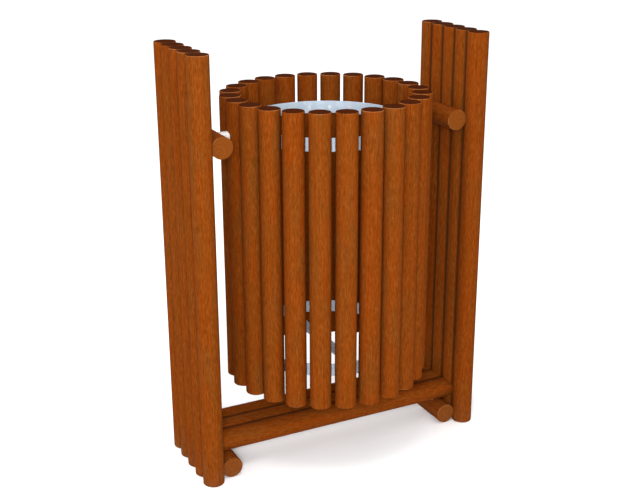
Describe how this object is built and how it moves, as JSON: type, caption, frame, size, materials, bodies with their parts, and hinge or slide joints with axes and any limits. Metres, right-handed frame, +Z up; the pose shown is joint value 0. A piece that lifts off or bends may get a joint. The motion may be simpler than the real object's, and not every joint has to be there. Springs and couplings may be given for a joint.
{
  "type": "litter bin",
  "caption": "Park litter bin: a round basket of upright wooden bars on steel hoops, hung on side pivots between frames of wooden poles and tipped over to empty.",
  "frame": {"origin": "on the ground at the middle of the bin, straight below the axis of the hanging basket", "axes": "+X to the right, along the line of the two pivots; +Y to the rear; +Z up. The front faces -Y."},
  "size_m": [0.74, 0.49, 1],
  "materials": {
    "stained_wood": "brown stain on round softwood bars, fine lengthwise grain, satin",
    "galvanised_steel": "hot-dip galvanised flat bar, pale grey, satin",
    "pivot_steel": "turned steel, satin",
    "bush_nylon": "off-white nylon, matte",
    "zinc_plated_steel": "zinc-plated steel, satin"
  },
  "bodies": {
    "stand": {"floor_beam_screws": "zinc_plated_steel", "floor_beam_washers": "zinc_plated_steel", "front_floor_beam": "stained_wood", "left_dowel_screws": "zinc_plated_steel", "left_lower_cross_log": "stained_wood", "left_pivot_bush": "bush_nylon", "left_pole_1": "stained_wood", "left_pole_2": "stained_wood", "left_pole_3": "stained_wood", "left_pole_4": "stained_wood", "left_pole_5": "stained_wood", "left_upper_cross_log": "stained_wood", "middle_floor_beam": "stained_wood", "rear_floor_beam": "stained_wood", "right_dowel_screws": "zinc_plated_steel", "right_lower_cross_log": "stained_wood", "right_pivot_bush": "bush_nylon", "right_pole_1": "stained_wood", "right_pole_2": "stained_wood", "right_pole_3": "stained_wood", "right_pole_4": "stained_wood", "right_pole_5": "stained_wood", "right_upper_cross_log": "stained_wood"},
    "basket": {"basket_slat_01": "stained_wood", "basket_slat_02": "stained_wood", "basket_slat_03": "stained_wood", "basket_slat_04": "stained_wood", "basket_slat_05": "stained_wood", "basket_slat_06": "stained_wood", "basket_slat_07": "stained_wood", "basket_slat_08": "stained_wood", "basket_slat_09": "stained_wood", "basket_slat_10": "stained_wood", "basket_slat_11": "stained_wood", "basket_slat_12": "stained_wood", "basket_slat_13": "stained_wood", "basket_slat_14": "stained_wood", "basket_slat_15": "stained_wood", "basket_slat_16": "stained_wood", "basket_slat_17": "stained_wood", "basket_slat_18": "stained_wood", "basket_slat_19": "stained_wood", "basket_slat_20": "stained_wood", "basket_slat_21": "stained_wood", "basket_slat_22": "stained_wood", "basket_slat_23": "stained_wood", "basket_slat_24": "stained_wood", "bottom_strap": "galvanised_steel", "left_pivot_pin": "pivot_steel", "left_pivot_sleeve": "pivot_steel", "lower_hoop": "galvanised_steel", "lower_hoop_screws": "zinc_plated_steel", "right_pivot_pin": "pivot_steel", "right_pivot_sleeve": "pivot_steel", "strap_screws": "zinc_plated_steel", "upper_hoop": "galvanised_steel", "upper_hoop_screws": "zinc_plated_steel"}
  },
  "joints": [
    {"name": "basket_tip", "type": "hinge", "parent": "stand", "child": "basket", "pos_m": [0, 0, 0.797], "axis": [1, 0, 0], "continuous": true}
  ]
}
